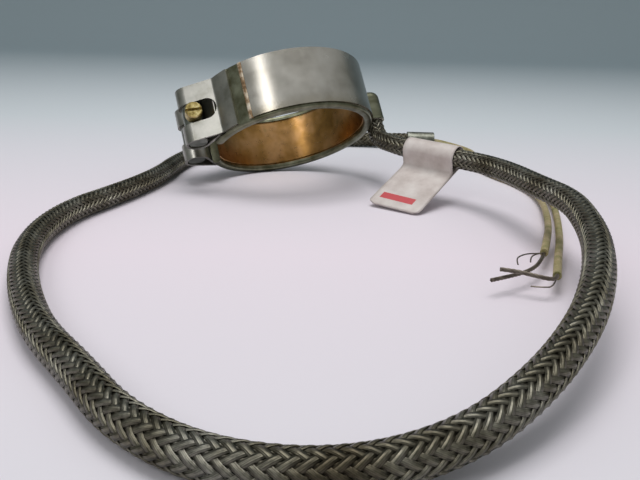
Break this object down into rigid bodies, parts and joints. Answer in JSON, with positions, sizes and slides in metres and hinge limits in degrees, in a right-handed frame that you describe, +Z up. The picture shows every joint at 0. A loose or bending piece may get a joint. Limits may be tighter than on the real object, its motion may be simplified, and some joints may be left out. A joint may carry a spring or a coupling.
{
  "type": "band heater",
  "caption": "Mica band heater: split steel cylinder closed by a slotted barrel clamp and screw, with a side terminal cap and a long metal-braided lead ending in insulated wires.",
  "frame": {"origin": "On the table under the heater itself, at the centre of the bounding box of all pieces except the lead, what is on it and its wires", "axes": "+Z up from the table, -Y towards the free loop of the lead, +X from the clamp towards the terminal cap; the heater leans on its stiff lead"},
  "size_m": [0.1837, 0.3171, 0.0585],
  "materials": {
    "inner_sheath": "satin",
    "outer_sheath": "satin",
    "cover_band": "satin",
    "clamp_strap": "satin",
    "weld": "matte",
    "mica": "satin",
    "ribbon": "satin",
    "pin": "satin",
    "screw": "satin",
    "terminal_steel": "satin",
    "terminal_metal": "satin",
    "bush_ceramic": "matte",
    "steel_braid": "matte",
    "ferrule_steel": "satin",
    "glass_sleeving": "matte",
    "bare_wire": "satin",
    "label_stock": "matte"
  },
  "bodies": {
    "heater": {"inner_sheath": "inner_sheath", "inner_mica": "mica", "mica_core": "mica", "outer_mica": "mica", "terminal_pad": "mica", "resistance_ribbon": "ribbon", "outer_sheath": "outer_sheath", "cover_band": "cover_band", "front_weld_bead": "weld", "rear_weld_bead": "weld", "front_lug": "clamp_strap", "rear_lug": "clamp_strap", "plain_barrel": "pin", "threaded_barrel": "pin", "terminal_cap": "terminal_steel", "terminal_tab_a": "terminal_metal", "terminal_tab_b": "terminal_metal", "terminal_crimp_a": "terminal_metal", "terminal_crimp_b": "terminal_metal", "lead_tail_a": "glass_sleeving", "lead_tail_b": "glass_sleeving", "exit_bush": "bush_ceramic", "lead_braid": "steel_braid", "end_ferrule": "ferrule_steel", "lead_a": "glass_sleeving", "lead_b": "glass_sleeving", "strands_a": "bare_wire", "strands_b": "bare_wire", "label": "label_stock"},
    "screw": {"clamp_screw": "screw"}
  },
  "joints": [
    {"name": "screw_turn", "type": "hinge", "parent": "heater", "child": "screw", "pos_m": [-0.03588, -0.01202, 0.02448], "axis": [-0.1955, 0.8307, -0.5212], "continuous": true}
  ]
}
